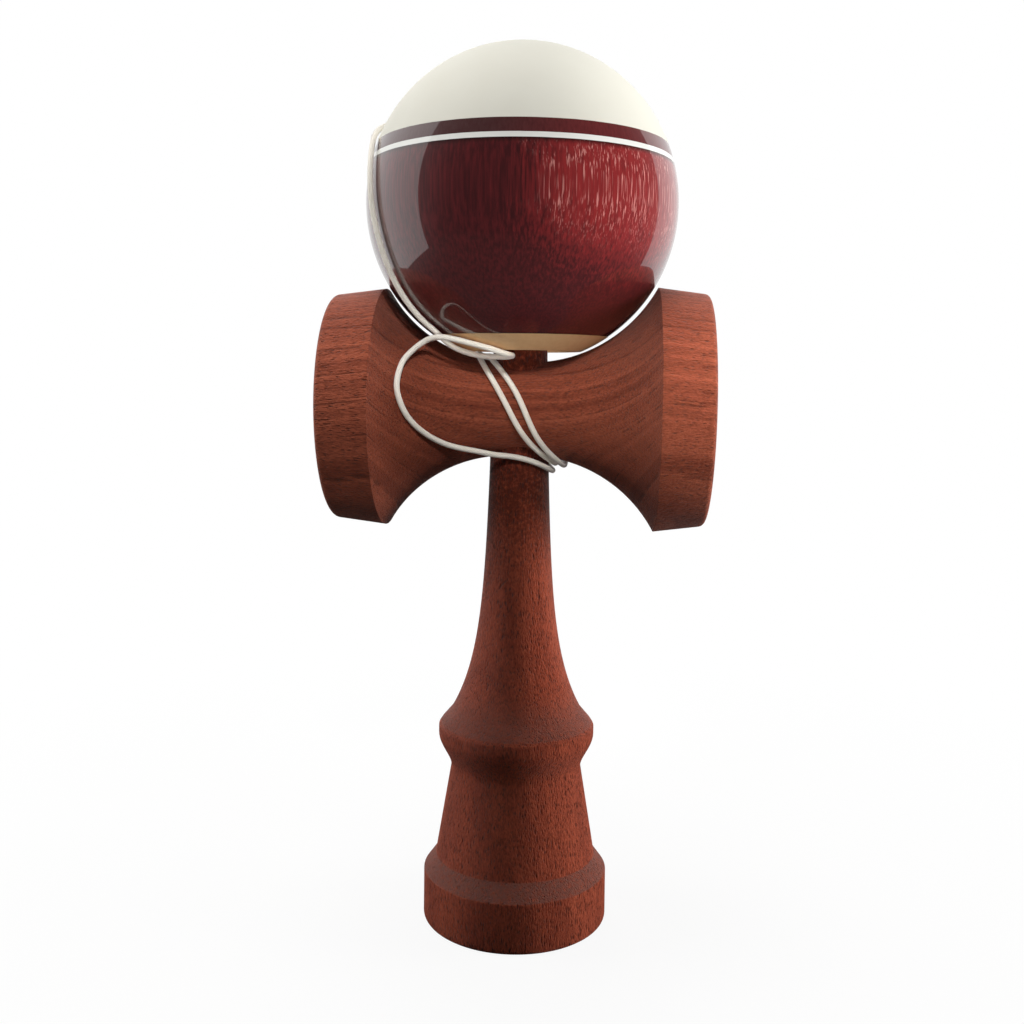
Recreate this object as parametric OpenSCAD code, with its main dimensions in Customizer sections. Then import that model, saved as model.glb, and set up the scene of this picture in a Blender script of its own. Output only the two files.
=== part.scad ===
/* [Handle] */
// Height of the handle, from the base to the tip of the spike
handle_h = 148; // [146:1:156]
// Diameter of the base flange
base_d = 37.6; // [34:0.2:42]
// Height of the base flange's straight wall
base_h = 10.3; // [8:0.1:12]
// Height of the bevel on top of the base flange
bevel_h = 3.4; // [2:0.1:4]
// Radius of the flange's rounded lower edge
base_round = 1; // [0.5:0.1:1.4]
// Width of the flat ring that the toy stands on
foot_w = 2.2; // [1.5:0.1:3]
// Depth of the cup in the base
base_cup_depth = 8; // [6:0.5:9]
// Diameter of the body just above the bevel
body_d = 32.2; // [30:0.2:34]
// Diameter of the waist under the collar
waist_d = 26.4; // [24:0.2:28]
// Height of the waist above the base
waist_z = 32; // [28:0.5:34]
// Diameter of the collar
collar_d = 31.5; // [29:0.1:34]
// Height of the collar's upper edge above the base
collar_z = 40.8; // [39:0.2:42]
// Height of the collar's straight face
collar_h = 1.9; // [1.5:0.1:3]
// Height of the shoulder from the collar's edge up to the neck
shoulder_h = 3; // [2.4:0.1:3.6]
// Width of the broken edges on the flange and the collar
edge_w = 0.3; // [0.1:0.05:0.5]
// How far the neck of the handle flares out above the collar, in radius
flare = 6.1; // [5:0.1:6.6]
// Height over which that flare fades to about a third
flare_fade = 11.5; // [9:0.5:14]
// Diameter of the shaft where the crosspiece sits on it
shaft_d = 11.6; // [10:0.1:12]
// Taper of the shaft, in diameter per millimetre of height
shaft_taper = 0.05; // [0.03:0.005:0.06]
// Diameter of the spike's rounded tip
tip_d = 4.6; // [3:0.1:6]

/* [Crosspiece] */
// Height of the crosspiece's axis above the base
cross_z = 104.4; // [102:0.2:108]
// Length of the crosspiece from cup to cup
cross_len = 72.6; // [70:0.2:76]
// Diameter of the ridge round the big cup
big_ridge_d = 47.4; // [45:0.2:48]
// Diameter of the ridge round the small cup
small_ridge_d = 46.4; // [44:0.2:47.4]
// Diameter of the big cup's rim
big_rim_d = 44.9; // [43:0.1:45]
// Diameter of the small cup's rim
small_rim_d = 43.9; // [42:0.1:44]
// Radius of the rim's rounded edge
rim_round = 1.1; // [0.8:0.1:1.6]
// Diameter at the middle of the neck
neck_d = 18.4; // [17.8:0.1:20]
// Length of the straight stretch in the middle of the neck
neck_flat = 4; // [2:0.5:6]
// Radius of the hollow curve on each side of the neck
neck_curve = 28; // [26:0.5:29]
// Diameter of the big cup's mouth
big_cup_d = 39; // [37:0.2:39.4]
// Depth of the big cup
big_cup_depth = 12; // [10:0.5:13]
// Diameter of the small cup's mouth
small_cup_d = 36; // [33:0.2:38]
// Depth of the small cup
small_cup_depth = 10; // [8:0.5:12]

/* [Ball] */
// Diameter of the ball
ball_d = 60; // [59:0.2:61]
// Diameter of the spike hole
hole_d = 21; // [19:0.2:22]
// Width of the bevel round the mouth of the spike hole
mouth_bevel = 1.2; // [0.8:0.1:1.6]
// Diameter of the bead inside the ball
bead_d = 9; // [7:0.2:12]
// Diameter of the bead's flat ends
bead_end_d = 5.8; // [4:0.2:6.6]
// Height of the bead
bead_h = 8; // [6:0.2:10]

/* [String] */
// Diameter of the string
string_d = 1.1; // [1:0.05:1.2]
// Diameter of the string's knots
knot_d = 2.8; // [2.6:0.1:3]
// Length of a knot along the string
knot_l = 2; // [1.8:0.1:2.2]
// Radius of the string's tightest bend, at its middle line
string_bend = 2.5; // [2.4:0.1:2.8]
// Turns of the string round the neck
wind_turns = 2.19; // [2.188:0.001:2.192]
// Step of the winding along the neck for each turn, at its top and bottom
wind_step = 1.56; // [1.54:0.01:1.6]
// How much wider that step is at the front and back of the neck
wind_open = 0.5; // [0.48:0.01:0.6]
// How much wider again it is on the upper front of the neck
wind_spread = 1.1; // [1:0.05:1.2]
// How far the winding slants to each side of the handle
wind_slant = 6.4; // [6.36:0.02:6.46]
// How far the winding's last stretch is drawn aside to its hole
wind_aside = 5.7; // [5.5:0.05:5.9]

/* [Clearances] */
// Gap between the shaft and the crosspiece's bore, all round
bore_gap = 0.08; // [0.05:0.01:0.1]
// Gap between the ball and the neck that it rests on
seat_gap = 0.33; // [0.3:0.01:0.5]
// Gap between the string and what it lies on
string_gap = 0.3; // [0.3:0.02:0.4]
// Gap between the bead and the end of the spike hole
bead_gap = 0.3; // [0.2:0.05:0.5]
// Gap between the spike and the knot above it
spike_gap = 1; // [0.6:0.1:2]

/* [Hidden] */
$fn = 96;
// How far a cut runs past the face that it opens
over = 1.5;

wood = "#8a4a38";
lacquer = "#6b1c20";
cream = "#e6e3d5";

// Neck of the crosspiece: its radius at a distance x from the handle's axis
neck_r = neck_d / 2;
half_flat = neck_flat / 2;
function neck_at(x) =
  let (side = max(abs(x) - half_flat, 0))
  neck_r + neck_curve - sqrt(max(neck_curve * neck_curve - side * side, 0));
end_x = cross_len / 2;

// Shaft of the handle: its radius at a height z
base_r = base_d / 2;
body_r = body_d / 2;
waist_r = waist_d / 2;
collar_r = collar_d / 2;
foot_r = base_r - base_round - foot_w;
seat_over = 2;
seat_z = cross_z - neck_r;
spike_z = cross_z + neck_r + seat_over;
flare_z = collar_z + shoulder_h;
flare_end = seat_z - seat_over;
function shaft_at(z) = shaft_d / 2 - (z - seat_z) * shaft_taper / 2;
function flare_at(z) = exp(-(z - flare_z) / flare_fade) - exp(-(flare_end - flare_z) / flare_fade);
function neck_of_handle(z) = shaft_at(z) + flare * flare_at(z);

// Ball: it rests on the neck at the edge of its spike hole
ball_r = ball_d / 2;
hole_r = hole_d / 2;
mouth_r = hole_r + mouth_bevel;
mouth_drop = sqrt(ball_r * ball_r - mouth_r * mouth_r);
ball_z = cross_z + neck_at(mouth_r) + seat_gap + mouth_drop;
mouth_z = ball_z - mouth_drop;
knot_z = handle_h + spike_gap;
bead_z = knot_z + knot_l;
ceiling_z = bead_z + bead_h + bead_gap;

// String: its middle line keeps this far off the wood
string_r = string_d / 2;
string_off = string_r + string_gap;
string_hole_r = string_off;
knot_lip = 0.2;
exit_z = ball_z + sqrt(pow(ball_r + string_off, 2) - string_bend * string_bend) - string_bend;

// Turns a list of corners into a cut or a body about the Z axis
module turned(corners) rotate_extrude() polygon(corners);

// Points of a quarter round or other arc in an outline
function arc(cx, cy, r, a0, a1, n) =
  [for (i = [0:n]) let (a = a0 + (a1 - a0) * i / n) [cx + r * cos(a), cy + r * sin(a)]];

// Radius of a bowl from its mouth and depth
function bowl_r(mouth, depth) = (mouth * mouth + depth * depth) / (2 * depth);

// String route over the ball: degrees round from the front to the left, and degrees up
over_ball = [
  [128, 80], [127, 73], [126, 66], [124, 59], [121.5, 52], [117.5, 45.5], [111.5, 40], [104, 35.5],
  [96, 32], [88, 29], [80.5, 26], [74, 22.5], [68.5, 18.5], [64.5, 13.5], [61.8, 8], [60, 2],
  [58.8, -4], [57.8, -10], [57.2, -16], [57, -22], [57, -28], [57, -34], [56.6, -40], [55.6, -46.5],
  [53.5, -53]
];
// String route in the fold under the ball's mouth, from the middle of the neck
fold = [
  [-12.6, -9.4, 12.1], [-9.6, -9.1, 10.8], [-6.6, -8.3, 10.2], [-3.9, -7.9, 10.1], [-2.4, -8.3, 10.1],
  [-1.3, -9.3, 10.2], [-0.9, -10.7, 10.3], [-1.3, -12.1, 10.4], [-2.4, -13.1, 10.7], [-3.9, -13.5, 11.2],
  [-6, -13.7, 11.8], [-8.8, -13.9, 12.5], [-11.8, -13.8, 13.2], [-14.6, -13.3, 13.5]
];
// String route in the loop: distance along the neck, degrees up from the front, and lift
loop = [
  [-17.2, 46, 3.2], [-19.4, 40, 1], [-20.8, 32, 0], [-21.4, 23, 0], [-21.6, 14, 0], [-21, 5, 0],
  [-19.8, -4, 0], [-18, -13, 0], [-15.6, -23, 0], [-12.8, -33, 0.1], [-10, -40, 0.4], [-7, -45, 0.9],
  [-4, -49, 1.3], [-1.4, -51.5, 1.3], [0.8, -54.5, 1.35], [2.6, -58, 1.5], [4.1, -63, 1.55],
  [5.2, -69.5, 1.55], [6.05, -76.5, 1.55], [6.55, -84, 1.55], [6.65, -92, 1.6], [6.35, -100, 1.65],
  [5.6, -108, 1.6], [4.45, -115.5, 1.1]
];
// The winding: 0 degrees is the front of the neck. It slants to both sides of the shaft, its turns lie
// furthest apart at wind_wide on the front, and its last stretch swings aside to the string hole
wind_from = -125;
wind_skew = 7;
wind_peak = 0.112;
wind_wide = 28.6;
wind_focus = 8;
wind_mid_turn = 1.164;
wind_mid = 0.55;
aside_turn = 1.88;
function wind_angle(turn) = wind_from - 360 * turn;
function wind_slope(a) = sin(a) - wind_peak * sin(3 * a);
function wind_x(turn) =
  let (
    a = wind_angle(turn),
    step = wind_step + wind_open * abs(cos(a)) + wind_spread * pow(cos((a - wind_wide) / 2), wind_focus),
    last = max(turn - aside_turn, 0) / (wind_turns - aside_turn),
    aside = wind_aside * (1 - cos(180 * last)) / 2
  )
  wind_mid + step * (turn - wind_mid_turn) - wind_slant * wind_slope(a + wind_skew * cos(a)) + aside;

function on_ball(lon, lat) = [
  -(ball_r + string_off) * cos(lat) * sin(lon),
  -(ball_r + string_off) * cos(lat) * cos(lon),
  ball_z + (ball_r + string_off) * sin(lat)
];
function on_neck(x, up, lift) =
  let (r = neck_at(x) + string_off + lift)
  [x, -r * cos(up), cross_z + r * sin(up)];
function wound(turn) = on_neck(wind_x(turn), wind_angle(turn), 0);

// Where the winding ends, its direction there, and the hole that it bends into
wind_end = wound(wind_turns);
wind_way = unit(wound(wind_turns) - wound(wind_turns - 0.01));
wind_out = unit([0, wind_end.y, wind_end.z - cross_z]);
string_hole = wind_end + string_bend * wind_way;
knot_depth = string_bend + string_d;

pole_way = [-sin(over_ball[0][0]), -cos(over_ball[0][0]), 0];
pole_bend = [
  for (a = [0:22.5:90])
    [0, 0, exit_z] + string_bend * (1 - cos(a)) * pole_way + [0, 0, string_bend * sin(a)]
];
end_bend = concat(
  [
    for (a = [22.5:22.5:90])
      wind_end + string_bend * sin(a) * wind_way - string_bend * (1 - cos(a)) * wind_out
  ],
  [string_hole - knot_depth * wind_out]
);
wind_steps = round(24 * wind_turns);
winding = [for (i = [0:wind_steps]) wound(wind_turns * i / wind_steps)];
ball_route = concat(pole_bend, [for (p = over_ball) on_ball(p[0], p[1])]);
loop_route = concat(
  [for (p = fold) [p.x, p.y, cross_z + p.z]],
  [for (p = loop) on_neck(p[0], p[1], p[2])]
);
line = concat(ball_route, loop_route, winding, end_bend);

function unit(v) = v / norm(v);
count = len(line);
ways = [
  for (i = [0:count - 1])
    i == 0 ? [0, 0, 1] : i == count - 1 ? -wind_out : unit(line[i + 1] - line[i - 1])
];
// Sideways directions that follow the curve without twisting
sides = [
  for (
    i = 0, s = [1, 0, 0];
    i < count;
    s = i + 1 < count ? unit(s - ways[i + 1] * (s * ways[i + 1])) : s, i = i + 1
  ) s
];
ball_end = len(ball_route);
loop_end = ball_end + len(loop_route);

// One closed tube along the curve, from one of its points to another
module tube(from, to, n) {
  rings = to - from + 1;
  points = [
    for (i = [from:to], k = [0:n - 1])
      let (a = 360 * k / n)
      line[i] + string_r * (cos(a) * sides[i] + sin(a) * cross(ways[i], sides[i]))
  ];
  walls = [
    for (i = [0:rings - 2], k = [0:n - 1])
      let (a = i * n + k, b = i * n + (k + 1) % n)
      each [[a, a + n, b], [b, a + n, b + n]]
  ];
  first = [for (k = [1:n - 2]) [0, k, k + 1]];
  end = (rings - 1) * n;
  last = [for (k = [1:n - 2]) [end, end + k + 1, end + k]];
  polyhedron(points, concat(walls, first, last));
}

// The string's least gap to itself, measured on points along it and away from their own neighbours
parts_each = 4;
near = 16;
dots = [
  for (i = [0:count - 2], k = [0:parts_each - 1])
    line[i] + (line[i + 1] - line[i]) * k / parts_each
];
gaps = [
  for (i = [0:len(dots) - near - 1])
    min([for (j = [i + near:len(dots) - 1]) norm(dots[i] - dots[j])]) - string_d
];
echo(least_gap = min(gaps));

// A stopper knot on the Z axis, standing on z = 0, with flat ends
module knot() {
  end_r = string_hole_r + knot_lip;
  swell = knot_d / 2 - end_r;
  turned(concat(
    [[0, 0]],
    [for (i = [0:8]) [end_r + swell * sin(180 * i / 8), knot_l * i / 8]],
    [[0, knot_l]]
  ));
}

module handle() {
  cup_r = bowl_r(foot_r, base_cup_depth);
  bevel_z = base_h + bevel_h;
  collar_foot = collar_z - collar_h;
  tip_r = tip_d / 2;
  flare_zs = [for (i = [0:20]) flare_z + (flare_end - flare_z) * pow(i / 20, 1.4)];
  outline = concat(
    [[0, 0]],
    arc(base_r - base_round, base_round, base_round, -90, 0, 6),
    [[base_r, base_h - edge_w], [base_r - edge_w / 2, base_h]],
    [[body_r + edge_w, bevel_z], [body_r, bevel_z + 3 * edge_w]],
    [
      for (i = [0:8])
        let (t = i / 8)
        [waist_r + (collar_r - waist_r) * t * t * (3 - 2 * t), waist_z + (collar_foot - waist_z) * t]
    ],
    [[collar_r, collar_z - 2 * edge_w], [collar_r - edge_w / 2, collar_z]],
    [[collar_r - 2 * edge_w, collar_z + 2 * edge_w]],
    [for (z = flare_zs) [neck_of_handle(z), z]],
    [[shaft_at(spike_z), spike_z]],
    arc(0, handle_h - tip_r, tip_r, 8, 90, 8)
  );
  color(wood)
    difference() {
      turned(outline);
      translate([0, 0, base_cup_depth - cup_r]) sphere(r = cup_r);
    }
}

// Outline of the crosspiece from the middle of its neck to one end: the hollow, the ridge and the rim
function cup_side(ridge_r, rim_r) =
  let (
    drop = neck_r + neck_curve - ridge_r,
    run = sqrt(neck_curve * neck_curve - drop * drop)
  )
  concat(
    [for (i = [0:20]) let (x = half_flat + run * sin(90 * i / 20)) [neck_at(x), x]],
    arc(rim_r - rim_round, end_x - rim_round, rim_round, 0, 90, 6)
  );

module crosspiece() {
  big_r = bowl_r(big_cup_d / 2, big_cup_depth);
  small_r = bowl_r(small_cup_d / 2, small_cup_depth);
  small_side = cup_side(small_ridge_d / 2, small_rim_d / 2);
  outline = concat(
    [[0, -end_x]],
    [for (i = [len(small_side) - 1:-1:0]) [small_side[i].x, -small_side[i].y]],
    cup_side(big_ridge_d / 2, big_rim_d / 2),
    [[0, end_x]]
  );
  bore_h = neck_d + 2 * seat_over;
  color(wood)
    difference() {
      translate([0, 0, cross_z]) rotate([0, 90, 0]) turned(outline);
      translate([end_x - big_cup_depth + big_r, 0, cross_z]) sphere(r = big_r);
      translate([-end_x + small_cup_depth - small_r, 0, cross_z]) sphere(r = small_r);
      translate([0, 0, cross_z - bore_h / 2])
        cylinder(
          h = bore_h,
          r1 = shaft_at(cross_z - bore_h / 2) + bore_gap,
          r2 = shaft_at(cross_z + bore_h / 2) + bore_gap
        );
      at_string_hole() {
        translate([0, 0, -knot_depth - over]) cylinder(h = knot_depth + over, r = string_hole_r);
        translate([0, 0, -2 * string_off])
          cylinder(h = 2 * string_off + over, r1 = string_hole_r, r2 = string_hole_r + 2 * string_off + over);
        translate([0, 0, -knot_depth - knot_l - over]) cylinder(h = knot_l + over, r = knot_d / 2 + string_gap);
      }
    }
}

// Places things on the axis of the neck's string hole, with z outwards
module at_string_hole() {
  translate(string_hole) rotate([90 - wind_angle(wind_turns), 0, 0]) children();
}

module crosspiece_knot() {
  color(cream) at_string_hole() translate([0, 0, -knot_depth - knot_l]) knot();
}

module ball() {
  flare_h = ball_z + ball_r - exit_z;
  color(lacquer)
    difference() {
      translate([0, 0, ball_z]) sphere(r = ball_r);
      translate([0, 0, ball_z - ball_r - over]) cylinder(h = ceiling_z - ball_z + ball_r + over, r = hole_r);
      translate([0, 0, mouth_z - mouth_bevel])
        cylinder(h = 2 * mouth_bevel, r1 = mouth_r + mouth_bevel, r2 = hole_r);
      translate([0, 0, ceiling_z - over])
        cylinder(h = ball_z + ball_r - ceiling_z + 2 * over, r = string_hole_r);
      translate([0, 0, exit_z])
        cylinder(h = flare_h + over, r1 = string_hole_r, r2 = string_hole_r + flare_h + over);
    }
}

module bead() {
  end_r = bead_end_d / 2;
  round_r = bead_d / 2 - end_r;
  outline = concat(
    [[string_off, 0]],
    [for (i = [0:10]) [end_r + round_r * sin(180 * i / 10), bead_h * (1 - cos(180 * i / 10)) / 2]],
    [[string_off, bead_h]]
  );
  color(cream) translate([0, 0, bead_z]) turned(outline);
}

module ball_knot() {
  color(cream) translate([0, 0, knot_z]) knot();
}

module string_in_ball() {
  color(cream) translate([0, 0, bead_z]) cylinder(h = exit_z - bead_z, r = string_r);
}

module string_over_ball() {
  color(cream) tube(0, ball_end, 8);
}

module string_loop() {
  color(cream) tube(ball_end, loop_end, 8);
}

module string_winding() {
  color(cream) tube(loop_end, count - 1, 6);
}

handle();
crosspiece();
crosspiece_knot();
ball();
bead();
ball_knot();
string_in_ball();
string_over_ball();
string_loop();
string_winding();
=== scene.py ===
import bpy
import numpy as np
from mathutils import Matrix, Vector


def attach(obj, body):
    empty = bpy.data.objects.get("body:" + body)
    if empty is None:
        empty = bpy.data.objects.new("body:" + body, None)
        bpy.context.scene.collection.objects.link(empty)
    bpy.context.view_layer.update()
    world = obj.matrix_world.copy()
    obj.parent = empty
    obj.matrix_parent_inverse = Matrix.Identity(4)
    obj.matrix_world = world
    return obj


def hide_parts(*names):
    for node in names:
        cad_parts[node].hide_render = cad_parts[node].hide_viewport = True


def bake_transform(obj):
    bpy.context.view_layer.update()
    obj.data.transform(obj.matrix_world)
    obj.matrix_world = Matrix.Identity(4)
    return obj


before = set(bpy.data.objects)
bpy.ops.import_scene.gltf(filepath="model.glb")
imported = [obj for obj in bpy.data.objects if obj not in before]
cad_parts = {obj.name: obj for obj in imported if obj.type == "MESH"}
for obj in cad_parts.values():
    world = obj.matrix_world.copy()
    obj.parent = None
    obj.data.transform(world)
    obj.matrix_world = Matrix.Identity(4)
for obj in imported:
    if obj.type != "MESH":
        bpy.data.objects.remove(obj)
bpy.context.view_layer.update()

mm = 0.001
fullTurn = 2 * np.pi
scene = bpy.context.scene

# the photograph's viewpoint, found from the ball, the cups and the handle's rings
cameraView = {
    "place": (0.013469, -0.223761, 0.111107),
    "angles": (83.0753, -0.6237, 3.8649),  # degrees about X, Y and Z
    "lens": 39.71,
    "sensor": 36,
    "nearest": 0.01,
}


def setCamera(view):
    data = bpy.data.cameras.new("view_camera")
    data.lens = view["lens"]
    data.sensor_width = view["sensor"]
    data.clip_start = view["nearest"]
    camera = bpy.data.objects.new("view_camera", data)
    camera.location = view["place"]
    camera.rotation_euler = np.radians(view["angles"])
    scene.collection.objects.link(camera)
    scene.camera = camera


setCamera(cameraView)
print("camera set")


# quads between the rows of a grid whose columns run round to meet
# the rows meet too where the outline is closed
def gridQuads(rows, columns, closed):
    row = np.arange(rows if closed else rows - 1)[:, None]
    column = np.arange(columns)[None, :]
    nextRow = (row + 1) % rows
    nextColumn = (column + 1) % columns
    corners = [
        row * columns + column,
        row * columns + nextColumn,
        nextRow * columns + nextColumn,
        nextRow * columns + column,
    ]
    return np.stack(corners, -1).reshape(-1, 4)


# six times the volume inside, as the sum over the faces of corner . (corner x corner)
def sixVolumes(points, quads):
    a, b, c, d = (points[quads[:, k]] for k in range(4))
    return np.sum(a * np.cross(b, c)) + np.sum(a * np.cross(c, d))


# a closed skin from a grid of points in metres, capped by one point at each end unless its rows meet
def addSkin(name, grid, closed=False, endPoints=None, layName=None):
    rows, columns, _ = grid.shape
    points = grid.reshape(-1, 3)
    quads = gridQuads(rows, columns, closed)
    ring = np.arange(columns)
    fans = []
    if not closed:
        points = np.concatenate([points, endPoints])
        top, last = rows * columns, (rows - 1) * columns
        fans = [
            np.stack([np.full(columns, top), (ring + 1) % columns, ring], -1),
            np.stack([np.full(columns, top + 1), last + ring, last + (ring + 1) % columns], -1),
        ]
    inward = sixVolumes(points, quads) < 0
    faces = [face[:, ::-1] if inward else face for face in [quads, *fans]]
    mesh = bpy.data.meshes.new(name)
    mesh.from_pydata(points.tolist(), [], [corner for face in faces for corner in face.tolist()])
    if layName:
        addLay(mesh, layName, rows, columns, inward)
    mesh.shade_smooth()
    mesh.update()
    piece = bpy.data.objects.new(name, mesh)
    scene.collection.objects.link(piece)
    return piece


# a UV map with u along the rows and v round the columns, both from 0 to 1
def addLay(mesh, layName, rows, columns, inward):
    row = np.arange(rows - 1)[:, None]
    column = np.arange(columns)[None, :]
    along = np.stack([row, row, row + 1, row + 1], -1) + 0 * column[..., None]
    across = np.stack([column, column + 1, column + 1, column], -1) + 0 * row[..., None]
    lay = np.stack([along / (rows - 1), across / columns], -1).reshape(-1, 4, 2)
    lay = lay[:, ::-1] if inward else lay
    spread = np.arange(columns) / columns
    caps = [
        np.stack([np.stack([np.full(columns, end), spread], -1)] * 3, 1)
        for end in (0.0, 1.0)
    ]
    values = np.concatenate([lay.reshape(-1, 2), *[cap.reshape(-1, 2) for cap in caps]])
    mesh.uv_layers.new(name=layName).data.foreach_set("uv", values.ravel())


# an outline of (radius, height) turned about Z: x = radius cos, y = radius sin, z = height
def turned(outline, columns):
    radius, height = np.asarray(outline, float).T
    angle = np.arange(columns) * fullTurn / columns
    x = radius[:, None] * np.cos(angle)
    y = radius[:, None] * np.sin(angle)
    return np.stack([x, y, height[:, None] + 0 * x], -1)


# a turned piece whose outline starts and ends on the axis
def addTurned(name, outline, columns, place=None):
    grid = turned(outline[1:-1], columns)
    ends = np.array([[0, 0, outline[0][1]], [0, 0, outline[-1][1]]], float)
    if place is not None:
        turn, shift = place
        grid = grid @ np.asarray(turn).T + shift
        ends = ends @ np.asarray(turn).T + shift
    return addSkin(name, grid * mm, endPoints=ends * mm)


# points of an arc about a middle from one angle to another, in degrees
def arc(middle, radius, fromAngle, toAngle, steps):
    a = np.radians(np.linspace(fromAngle, toAngle, steps + 1))
    return np.stack([middle[0] + radius * np.cos(a), middle[1] + radius * np.sin(a)], -1)


straightHalf = 1.55  # radians: a corner whose half angle is wider counts as straight
sideShare = 0.48  # the most of a side that a rounding takes


# an outline of (radius, height, rounding)
# each corner with a rounding becomes an arc that touches both its sides
def eased(corners, steps=6):
    corners = np.asarray(corners, float)
    spots, rounding = corners[:, :2], corners[:, 2]
    out = [spots[:1]]
    for before, spot, after, r in zip(spots, spots[1:], spots[2:], rounding[1:-1]):
        back, on = before - spot, after - spot
        backLength, onLength = np.linalg.norm(back), np.linalg.norm(on)
        back, on = back / backLength, on / onLength
        half = np.arccos(np.clip(back @ on, -1, 1)) / 2
        if r <= 0 or half > straightHalf:
            out.append(spot[None])
            continue
        reach = min(r / np.tan(half), sideShare * backLength, sideShare * onLength)
        r = reach * np.tan(half)
        middle = spot + (back + on) / np.linalg.norm(back + on) * r / np.sin(half)
        start, end = spot + reach * back - middle, spot + reach * on - middle
        a = np.arctan2(start[1], start[0])
        swing = (np.arctan2(end[1], end[0]) - a + np.pi) % fullTurn - np.pi
        turns = a + swing * np.linspace(0, 1, steps + 1)
        out.append(middle + r * np.stack([np.cos(turns), np.sin(turns)], -1))
    return np.concatenate([*out, spots[-1:]])


# an eased outline that closes on itself
def easedLoop(corners):
    return eased(np.concatenate([corners[-1:], corners, corners[:1]]))[1:-1]


# points with no rounding of their own
def plain(points):
    points = np.asarray(points, float)
    return np.concatenate([points, np.zeros((len(points), 1))], 1)


# a bowl's radius: the squares of its mouth and depth over twice the depth
def bowlRadius(mouth, depth):
    return (mouth * mouth + depth * depth) / (2 * depth)


# rows made one long
def unit(rows):
    return rows / np.linalg.norm(rows, axis=-1, keepdims=True)


# sizes that several pieces share, in millimetres
shared = {
    "crossHeight": 104.4,  # the crosspiece's axis
    "neckRadius": 9.2,
    "neckFlat": 2.0,  # half of the neck's straight middle
    "neckCurve": 28.0,
    "shaftRadius": 5.8,  # under the neck
    "shaftTaper": 0.025,
    "ballRadius": 30.0,
    "ballHeight": 143.288,
    "stringDiameter": 1.1,
    "stringOff": 0.85,  # the string's middle from the wood
    "stringBend": 2.5,
    "exitHeight": 171.537,  # where the string leaves the ball
    "beadFoot": 151.0,
}


# the neck's radius at a distance x from the handle's axis: an arc that starts at the flat middle
def neckRadius(x):
    side = np.maximum(np.abs(x) - shared["neckFlat"], 0)
    curve = shared["neckCurve"]
    return shared["neckRadius"] + curve - np.sqrt(np.maximum(curve * curve - side * side, 0))


# the shaft's radius at a height: a straight taper
def shaftRadius(z):
    foot = shared["crossHeight"] - shared["neckRadius"]
    return shared["shaftRadius"] - (z - foot) * shared["shaftTaper"]


# the string: its route from the ball's pole to the hole in the neck's back, in millimetres and degrees
stringRoute = {
    "overBall": [  # degrees round from the front to the left, and degrees up
        (128, 80), (127, 73), (126, 66), (124, 59), (121.5, 52), (117.5, 45.5), (111.5, 40), (104, 35.5),
        (96, 32), (88, 29), (80.5, 26), (74, 22.5), (68.5, 18.5), (64.5, 13.5), (61.8, 8), (60, 2),
        (58.8, -4), (57.8, -10), (57.2, -16), (57, -22), (57, -28), (57, -34), (56.6, -40), (55.6, -46.5),
        (53.5, -53),
    ],
    "fold": [  # under the ball's mouth, from the middle of the neck
        (-12.6, -9.4, 12.1), (-9.6, -9.1, 10.8), (-6.6, -8.3, 10.2), (-3.9, -7.9, 10.1),
        (-2.4, -8.3, 10.1), (-1.3, -9.3, 10.2), (-0.9, -10.7, 10.3), (-1.3, -12.1, 10.4),
        (-2.4, -13.1, 10.7), (-3.9, -13.5, 11.2), (-6, -13.7, 11.8), (-8.8, -13.9, 12.5),
        (-11.8, -13.8, 13.2), (-14.6, -13.3, 13.5),
    ],
    "loop": [  # distance along the neck, degrees up from the front, and lift
        (-17.2, 46, 3.2), (-19.4, 40, 1), (-20.8, 32, 0), (-21.4, 23, 0), (-21.6, 14, 0), (-21, 5, 0),
        (-19.8, -4, 0), (-18, -13, 0), (-15.6, -23, 0), (-12.8, -33, 0.1), (-10, -40, 0.4), (-7, -45, 0.9),
        (-4, -49, 1.3), (-1.4, -51.5, 1.3), (0.8, -54.5, 1.35), (2.6, -58, 1.5), (4.1, -63, 1.55),
        (5.2, -69.5, 1.55), (6.05, -76.5, 1.55), (6.55, -84, 1.55), (6.65, -92, 1.6), (6.35, -100, 1.65),
        (5.6, -108, 1.6), (4.45, -115.5, 1.1),
    ],
    "turns": 2.19,
    "turnPoints": 24,
    "windFrom": -125,  # degrees up from the front
    "windSkew": 7,  # degrees
    "windPeak": 0.112,  # share of the third wave in the slant
    "windStep": 1.56,  # along the neck in a turn
    "windOpen": 0.5,  # more at the front and the back
    "windSpread": 1.1,  # more where the turns part
    "windWide": 28.6,  # degrees up where they part most
    "windFocus": 8,
    "windSlant": 6.4,
    "windMiddle": 0.55,
    "windMiddleTurn": 1.164,
    "windAside": 5.7,  # the last swing, to the hole
    "asideTurn": 1.88,  # where that swing starts
    "knotDepth": 3.6,  # from the hole's mouth to the knot
    "ringSpacing": 0.26,
    "insideRings": 80,
    "sides": 16,
    "plies": 4,
    "plyPitch": 5.2,
    "plyDepth": 0.012,  # of the radius
    "length": 0.349,  # metres
}


# a place on the ball from degrees round and degrees up, one string's offset off it
def onBall(rows):
    leftward, up = np.radians(np.asarray(rows, float)).T
    radius = shared["ballRadius"] + shared["stringOff"]
    x = -radius * np.cos(up) * np.sin(leftward)
    y = -radius * np.cos(up) * np.cos(leftward)
    return np.stack([x, y, shared["ballHeight"] + radius * np.sin(up)], -1)


# a place on the neck from its distance along it, degrees up from the front and lift
def onNeck(x, up, lift):
    radius = neckRadius(x) + shared["stringOff"] + lift
    angle = np.radians(up)
    return np.stack([x, -radius * np.cos(angle), shared["crossHeight"] + radius * np.sin(angle)], -1)


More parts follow.
